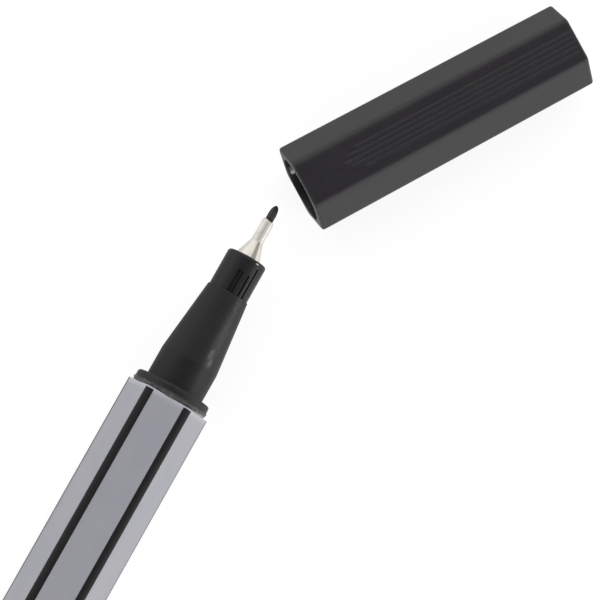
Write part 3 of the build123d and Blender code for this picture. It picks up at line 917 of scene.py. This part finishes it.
class FINELINER_OT_grip(bpy.types.Operator):
    """Builds the grip section: spigot, collar with its worn bead, cap seat and cone"""

    bl_idname = "fineliner.grip"
    bl_label = "Grip section"
    nicks_to_radian = 6

    def execute(self, context):
        grip = context.scene.fineliner_grip
        heel = BARREL_HIGH.x
        bead = heel + grip.bead_place
        spigot = bore_radius(context.scene.fineliner_barrel) - CLEARANCE
        rear_bore = spigot - grip.spigot_wall
        front_bore = context.scene.fineliner_tip.shank_radius + CLEARANCE
        bore_step = HOLDER_LOW.x - END_GAP
        outline = soft_outline(
            (GRIP_LOW.x, rear_bore),
            (GRIP_LOW.x, spigot - LEAD_IN),
            (GRIP_LOW.x + LEAD_IN, spigot),
            (heel, spigot),
            (heel, grip.collar_back, grip.heel_edge),
            (bead, GRIP_HIGH.z, grip.bead_edge),
            (bead + grip.bead_slope, grip.collar_radius, grip.bead_root),
            (0, grip.collar_radius, grip.collar_edge),
            (0, SEAT_RADIUS, grip.seat_root),
            (SEAT_END, SEAT_RADIUS, grip.cone_bend),
            (GRIP_HIGH.x, grip.front_radius, grip.front_edge),
            (GRIP_HIGH.x, front_bore),
            (bore_step, front_bore),
            (bore_step, rear_bore),
        )

        def worn(station, radius, angle):
            """The bead's outline with shallow nicks."""
            if radius < grip.collar_radius + grip.nick_floor:
                return radius
            around = ray(angle) * self.nicks_to_radian
            chip = noise.noise(Vector((around.x, around.y, station / MM)))
            return radius - grip.bead_nicks * max(0.0, chip)

        rings = turned_rings(outline, worn)
        add_piece("grip", [rings], grip_black(grip), "pen", "grip_section")
        return {"FINISHED"}


class FINELINER_OT_holder(bpy.types.Operator):
    """Builds the glossy nib holder with its air slots"""

    bl_idname = "fineliner.holder"
    bl_label = "Nib holder"
    # Bearing in degrees, width and length in millimetres; each slot has a twin on the lower side
    vents = ((-3.0, 0.26, 2.35), (6.4, 0.1, 2.35), (27.5, 0.17, 2.2), (42.5, 0.17, 3.2))

    def execute(self, context):
        tip = context.scene.fineliner_tip
        radius = HOLDER_HIGH.z
        rear, front = GRIP_HIGH.x, HOLDER_HIGH.x - tip.holder_setback
        vents = []
        for bearing, width, reach in self.vents:
            half = asin(width * MM / 2 / radius)
            vents += [(radians(bearing + side), half, rear + reach * MM) for side in (0, 180)]
        ends = sorted({end for _, _, end in vents})
        slope = tip.vent_slope
        rod_bore = NIB_HIGH.z + tip.rod_room
        sleeve_bore = SLEEVE_HIGH.z + CLEARANCE
        outline = soft_outline(
            (HOLDER_LOW.x, rod_bore),
            (HOLDER_LOW.x, tip.shank_radius, tip.shank_edge),
            (rear, tip.shank_radius),
            (rear, radius),
            *[(end + edge, radius) for end in ends for edge in (-slope, slope)],
            (front, radius, tip.holder_edge),
            (front, sleeve_bore, tip.holder_lip),
            (SLEEVE_LOW.x, sleeve_bore),
            (SLEEVE_LOW.x, rod_bore),
        )
        lip = slope / radius
        angles = {a for a in round_angles() if all(apart(a, v) > half + 2 * lip for v, half, _ in vents)}
        for vent, half, _ in vents:
            for edge in (-half - lip, -half + lip, 0.0, half - lip, half + lip):
                angles.add((vent + edge) % (2 * pi))

        def vented(station, reach, angle):
            """The holder's radius, less where an air slot runs."""
            inside = any(apart(angle, v) < half and station < end for v, half, end in vents)
            on_flank = reach > radius - slope and rear <= station
            return reach - tip.vent_depth if inside and on_flank else reach

        rings = turned_rings(outline, vented, sorted(angles))
        add_piece("holder", [rings], holder_black(tip), "pen", "nib_holder")
        return {"FINISHED"}


class FINELINER_OT_sleeve(bpy.types.Operator):
    """Builds the drawn metal sleeve round the nib"""

    bl_idname = "fineliner.sleeve"
    bl_label = "Metal sleeve"

    def execute(self, context):
        tip = context.scene.fineliner_tip
        base = SLEEVE_HIGH.z
        base_bore = base - tip.sleeve_wall
        bore = NIB_HIGH.z + CLEARANCE
        tube = bore + tip.sleeve_wall
        neck = HOLDER_HIGH.x + tip.sleeve_cone
        rim = SLEEVE_HIGH.x
        outline = soft_outline(
            (SLEEVE_LOW.x, base_bore),
            (SLEEVE_LOW.x, base),
            (HOLDER_HIGH.x, base, tip.sleeve_foot),
            (neck, tube, tip.sleeve_blend),
            (rim - tip.rim_length, tube, tip.rim_bend),
            (rim, tube - tip.rim_inset, tip.rim_edge),
            (rim, bore, tip.rim_lip),
            (neck, bore, tip.sleeve_blend),
            (HOLDER_HIGH.x, base_bore),
        )
        rings = turned_rings(outline)
        for ring in rings:
            for point in ring:
                near_rim = max(0.0, 1 - (rim - point.x) / tip.rim_length)
                point.x -= near_rim * tan(tip.rim_skew) * (tube - point.y)
        add_piece("sleeve", [rings], drawn_nickel(tip), "pen", "nib_sleeve")
        return {"FINISHED"}


class FINELINER_OT_nib(bpy.types.Operator):
    """Builds the fibre nib from its ink point to its worn writing end"""

    bl_idname = "fineliner.nib"
    bl_label = "Nib"
    dome_steps = 30

    def execute(self, context):
        tip = context.scene.fineliner_tip
        radius = NIB_HIGH.z
        dome_start = NIB_HIGH.x + tip.nib_reach - tip.nib_dome
        outline = [(NIB_LOW.x, POINT_RADIUS), (NIB_LOW.x + tip.nib_point, radius)]
        for angle in sweep(0, pi / 2 - POINT_RADIUS / radius, self.dome_steps):
            outline.append((dome_start + tip.nib_dome * sin(angle), radius * cos(angle)))
        rings = turned_rings(outline)
        add_piece("fibre_nib", [rings], nib_fibre(tip), "pen", "nib", endless=False)
        return {"FINISHED"}


class FINELINER_OT_ink(bpy.types.Operator):
    """Builds the wadding with the hole that the nib has pressed into it, and dresses its film"""

    bl_idname = "fineliner.ink"
    bl_label = "Ink store"

    def execute(self, context):
        tip = context.scene.fineliner_tip
        hole = NIB_HIGH.y + CLEARANCE
        hole_end = NIB_LOW.x - END_GAP
        outline = soft_outline(
            (WADDING_LOW.x, POINT_RADIUS),
            (WADDING_LOW.x, WADDING_HIGH.y, tip.wadding_edge),
            (WADDING_HIGH.x, WADDING_HIGH.y, tip.wadding_edge),
            (WADDING_HIGH.x, hole, tip.hole_edge),
            (hole_end + tip.nib_point, hole),
            (hole_end, POINT_RADIUS),
        )
        rings = turned_rings(outline)
        add_piece("wadding_rod", [rings], wadding(tip), "pen", "ink_reservoir", endless=False)
        dress_node("reservoir_wrap", film(tip))
        return {"FINISHED"}


class FINELINER_OT_cap(bpy.types.Operator):
    """Builds the drafted six-sided cap with its stepped bore and grip ribs"""

    bl_idname = "fineliner.cap"
    bl_label = "Cap"
    rib_steps = (-2, -1, 0, 1, 2)
    # The corners that come before the upper and the lower flat, and the way each of these faces
    ribbed_flats = {1: 1, 4: -1}

    def execute(self, context):
        cap = context.scene.fineliner_cap
        place = self.cap_place(cap)
        shell = frame["nodes"]["cap_shell"].data
        depth = max((place.inverted() @ v.co).x for v in shell.vertices)
        rib_end = depth - cap.rib_margin
        stations = []
        for start in sorted({self.rib_start(cap, step) for step in self.rib_steps}):
            stations += [start, start + cap.rib_ramp]
        stations += [rib_end - cap.rib_ramp, rib_end]
        sections = [(station - cap.rim_reach, inset) for station, inset in rounding(cap.rim_radius)]
        sections += [(station, 0) for station in stations]
        sections += [(depth - station, inset) for station, inset in reversed(rounding(cap.end_radius))]
        rings = [self.ring(cap, station, inset, rib_end) for station, inset in sections]
        outline = [Vector((p.y, p.z)) for p in rings[0]]
        core_end = depth - cap.end_wall
        bore_end = cap.mouth_bevel + BORE_LENGTH
        inside = (
            (depth, cap.vent_radius),
            (core_end, cap.vent_radius),
            (core_end, cap.core_radius),
            (cap.seat_end, cap.core_radius),
            (cap.seat_end, cap.seat_radius),
            (bore_end, cap.seat_radius),
            (bore_end, BORE_RADIUS),
            (cap.flare_depth, BORE_RADIUS),
            (-cap.rim_reach, BORE_RADIUS + cap.mouth_flare),
        )
        rings += [circle_like(outline, station, radius) for station, radius in inside]
        add_piece("cap", [rings], cap_black(cap), "cap", "cap_shell", place=place)
        return {"FINISHED"}

    def cap_place(self, cap):
        """The cap's own frame, from the middle of its mouth with X into the cap."""
        into = -Vector(MOUTH["axis"])
        side = Vector((0, 0, 1)).cross(into).normalized()
        turned = Matrix((into, side, into.cross(side))).transposed().to_4x4()
        return Matrix.Translation(Vector(MOUTH["pos_m"]) - into * cap.mouth_bevel) @ turned

    def rib_start(self, cap, step):
        """Where a rib starts: further from the mouth, the further it is from the middle."""
        return cap.rib_start + cap.rib_stagger * abs(step) * (abs(step) + 1)

    def ring(self, cap, depth, inset, rib_end):
        """The cap's section at a depth from the mouth, drawn in by an inset, with its ribs."""
        shrink = depth * tan(cap.draft) + inset
        flats = cap.flats - 2 * shrink
        corners = []
        for index in range(6):
            corners.append(across(hex_corner(flats, cap.corner_radius - shrink, index), depth))
            if index in self.ribbed_flats:
                corners.append(self.ribs(cap, depth, flats / 2, self.ribbed_flats[index], rib_end))
        return along_flats(corners)

    def ribs(self, cap, depth, flat, up, rib_end):
        """Points along a ribbed flat that lies this far from the axis, in order round the section."""
        foot, height = cap.rib_foot, cap.rib_height
        radius = (foot * foot + height * height) / (2 * height)
        points = []
        for step in self.rib_steps:
            begun = (depth - self.rib_start(cap, step)) / cap.rib_ramp
            left = (rib_end - depth) / cap.rib_ramp
            grown = max(0.0, min(1.0, begun, left))
            middle = step * cap.rib_pitch + cap.rib_shift
            for offset in sweep(-foot, foot, CORNER_STEPS):
                lift = grown * (sqrt(radius * radius - offset * offset) - radius + height)
                points.append(Vector((depth, -up * (middle + offset), up * (flat + lift))))
        return points


class FINELINER_OT_liner(bpy.types.Operator):
    """Dresses the soft liner inside the cap"""

    bl_idname = "fineliner.liner"
    bl_label = "Cap liner"

    def execute(self, context):
        dress_node("cap_liner", liner_black(context.scene.fineliner_cap))
        return {"FINISHED"}


class FINELINER_OT_stage(bpy.types.Operator):
    """Sets up the floor, the light tent, the softbox and the camera"""

    bl_idname = "fineliner.stage"
    bl_label = "Stage"
    floor_size = 12.0
    shine_direction = (-0.27, -0.96, 0.0)
    shine_edges = (-5 * MM, 7 * MM)
    softbox_size = (0.36, 0.13)
    softbox_place = Vector((0.12, -0.57, 0.13))
    sides_blend = 0.6
    opening_direction = Vector((-0.26, -0.1, 0.96)).normalized()
    opening_outside = radians(75)
    gap_direction = Vector((0.58, -0.66, 0.45)).normalized()
    gap_inside = radians(16)
    gap_outside = radians(34)
    camera_sight = (0.01, 100.0)

    def execute(self, context):
        stage = context.scene.fineliner_stage
        self.make_floor(stage)
        self.make_tent(stage)
        self.make_softbox(stage)
        self.make_camera(stage)
        context.scene.view_settings.view_transform = "Standard"
        return {"FINISHED"}

    def make_floor(self, stage):
        """A wide pale floor that looks white and keeps a soft shadow."""
        mesh = bmesh.new()
        bmesh.ops.create_grid(mesh, x_segments=1, y_segments=1, size=self.floor_size / 2)
        data = bpy.data.meshes.new("floor")
        mesh.to_mesh(data)
        mesh.free()
        floor = bpy.data.objects.new("floor", data)
        floor.location.z = CAD_BOX[0].z
        bpy.context.scene.collection.objects.link(floor)
        graph = new_finish("floor_white")
        camera, glossy, through = (
            graph.node("ShaderNodeLightPath", output=name)
            for name in ("Is Camera Ray", "Is Glossy Ray", "Is Transmission Ray")
        )
        aside = graph.along(self.shine_direction).step(*self.shine_edges)
        shine = stage.shine_left + aside * (stage.shine_right - stage.shine_left)
        white = (camera * stage.floor_white).larger(glossy.larger(through) * shine)
        grey = tint((stage.floor_grey,) * 3)
        shaded = graph.node("ShaderNodeBsdfDiffuse", sockets={"Color": grey})
        plain = graph.node("ShaderNodeEmission", sockets={"Strength": stage.floor_glow})
        mixed = graph.node("ShaderNodeMixShader", sockets={0: white, 1: shaded, 2: plain})
        graph.node("ShaderNodeOutputMaterial", sockets={"Surface": mixed})
        data.materials.append(graph.owner)

    def make_tent(self, stage):
        """Light from all round, dim overhead and in one gap, and a white look for the camera."""
        world = bpy.data.worlds.new("light_tent")
        bpy.context.scene.world = world
        graph = Graph(world, coordinates="Generated")
        _, aside, _ = graph.axes()
        opening = graph.along(self.opening_direction).step(cos(self.opening_outside), 1.0)
        gap = graph.along(self.gap_direction).step(cos(self.gap_outside), cos(self.gap_inside))
        side = stage.sky_left + (-aside).edge(0.0, self.sides_blend) * (stage.sky_right - stage.sky_left)
        tent = (side + opening * (stage.zenith - side)) * (1 - gap * stage.gap)
        camera = graph.node("ShaderNodeLightPath", output="Is Camera Ray")
        shade = graph.blend(opening, tint(stage.tent_tint), tint(stage.zenith_tint))
        shade = graph.over(shade, camera, (1.0, 1.0, 1.0))
        strength = tent + camera * (1 - tent)
        light = graph.node("ShaderNodeBackground", sockets={"Color": shade, "Strength": strength})
        graph.node("ShaderNodeOutputWorld", sockets={"Surface": light})

    def make_softbox(self, stage):
        """A soft light low on the pen's right, unseen by the camera."""
        light = bpy.data.lights.new("softbox", "AREA")
        light.shape = "RECTANGLE"
        light.size, light.size_y = self.softbox_size
        light.energy = stage.softbox_power
        lamp = bpy.data.objects.new("softbox", light)
        lamp.location = self.softbox_place
        lamp.rotation_mode = "QUATERNION"
        lamp.rotation_quaternion = self.softbox_place.to_track_quat("Z", "Y")
        lamp.visible_camera = False
        bpy.context.scene.collection.objects.link(lamp)

    def make_camera(self, stage):
        """The camera over the pen, turned so that the pen points up and to the right."""
        data = bpy.data.cameras.new("camera")
        camera = bpy.data.objects.new("camera", data)
        eye, aim = Vector(stage.camera_over), Vector(stage.camera_aim)
        back = (eye - aim).normalized()
        flat = Vector((cos(stage.pen_heading), -sin(stage.pen_heading), 0))
        right = (flat - flat.dot(back) * back).normalized()
        turned = Matrix((right, back.cross(right), back)).transposed().to_4x4()
        camera.matrix_world = Matrix.Translation(eye) @ turned
        data.lens = data.sensor_width * (eye - aim).length / stage.picture_width
        data.clip_start, data.clip_end = self.camera_sight
        bpy.context.scene.collection.objects.link(camera)
        bpy.context.scene.camera = camera


OPERATORS = (
    FINELINER_OT_barrel,
    FINELINER_OT_stripes,
    FINELINER_OT_plug,
    FINELINER_OT_grip,
    FINELINER_OT_holder,
    FINELINER_OT_sleeve,
    FINELINER_OT_nib,
    FINELINER_OT_ink,
    FINELINER_OT_cap,
    FINELINER_OT_liner,
    FINELINER_OT_stage,
)
SETTINGS = {
    "fineliner_barrel": BarrelSettings,
    "fineliner_grip": GripSettings,
    "fineliner_tip": TipSettings,
    "fineliner_cap": CapSettings,
    "fineliner_stage": StageSettings,
}


class FINELINER_PT_pieces(bpy.types.Panel):
    """Lists the pen's pieces"""

    bl_idname = "FINELINER_PT_pieces"
    bl_label = "Fineliner pen"
    bl_space_type = "VIEW_3D"
    bl_region_type = "UI"
    bl_category = "Fineliner"

    def draw(self, context):
        for operator in OPERATORS:
            self.layout.operator(operator.bl_idname)


def register():
    """Adds the settings, the operators and the panel."""
    for name, group in SETTINGS.items():
        bpy.utils.register_class(group)
        setattr(bpy.types.Scene, name, PointerProperty(type=group))
    for operator in OPERATORS:
        bpy.utils.register_class(operator)
    bpy.utils.register_class(FINELINER_PT_pieces)


def unregister():
    """Takes the panel, the operators and the settings away again."""
    bpy.utils.unregister_class(FINELINER_PT_pieces)
    for operator in reversed(OPERATORS):
        bpy.utils.unregister_class(operator)
    for name, group in SETTINGS.items():
        delattr(bpy.types.Scene, name)
        bpy.utils.unregister_class(group)


def main():
    """Builds every piece in order."""
    register()
    bpy.ops.fineliner.barrel()
    bpy.ops.fineliner.stripes()
    bpy.ops.fineliner.plug()
    bpy.ops.fineliner.grip()
    bpy.ops.fineliner.holder()
    bpy.ops.fineliner.sleeve()
    bpy.ops.fineliner.nib()
    bpy.ops.fineliner.ink()
    bpy.ops.fineliner.cap()
    bpy.ops.fineliner.liner()
    bpy.ops.fineliner.stage()


if __name__ == "__main__":
    main()
